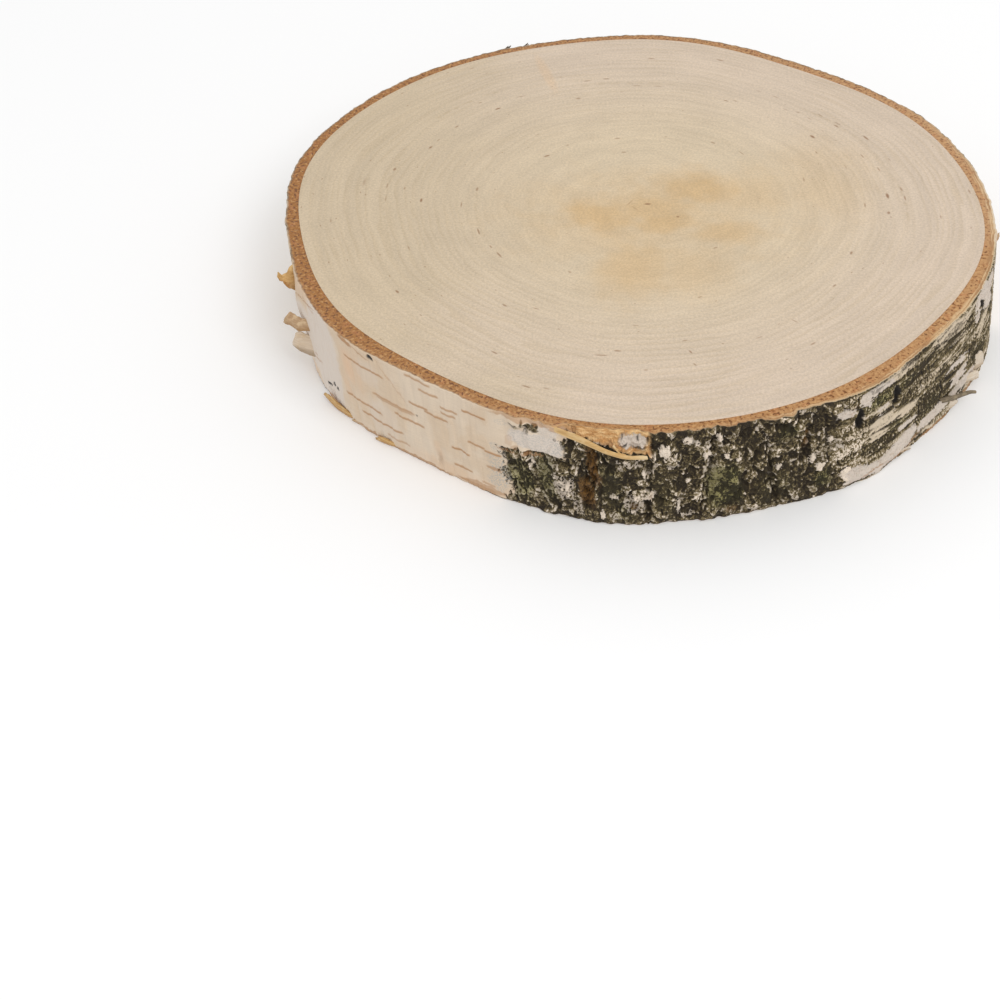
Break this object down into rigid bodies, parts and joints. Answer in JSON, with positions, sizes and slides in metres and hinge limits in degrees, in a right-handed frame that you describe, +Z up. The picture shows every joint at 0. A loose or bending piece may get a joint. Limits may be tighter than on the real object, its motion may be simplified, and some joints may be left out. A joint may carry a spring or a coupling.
{
  "type": "birch wood slice",
  "caption": "Thick round slice of birch trunk with flat sawn faces and its bark left on, used as a rustic stand, board or base.",
  "frame": {"origin": "on the sawn underside that the slice rests on, straight below the middle of the upper face's outline", "axes": "+Z up, square to both sawn faces; the plated dark bark faces -Y and the smooth papery bark faces -X"},
  "size_m": [0.2128, 0.2132, 0.03],
  "materials": {
    "wood": "fine sawn and sanded end grain, pale cream with close growth rings, unvarnished",
    "bark": "birch bark, papery white and peach with tan lenticels, plated dark grey and mossy at the front"
  },
  "bodies": {
    "root": {"wood": "wood", "bark": "bark"}
  },
  "joints": []
}
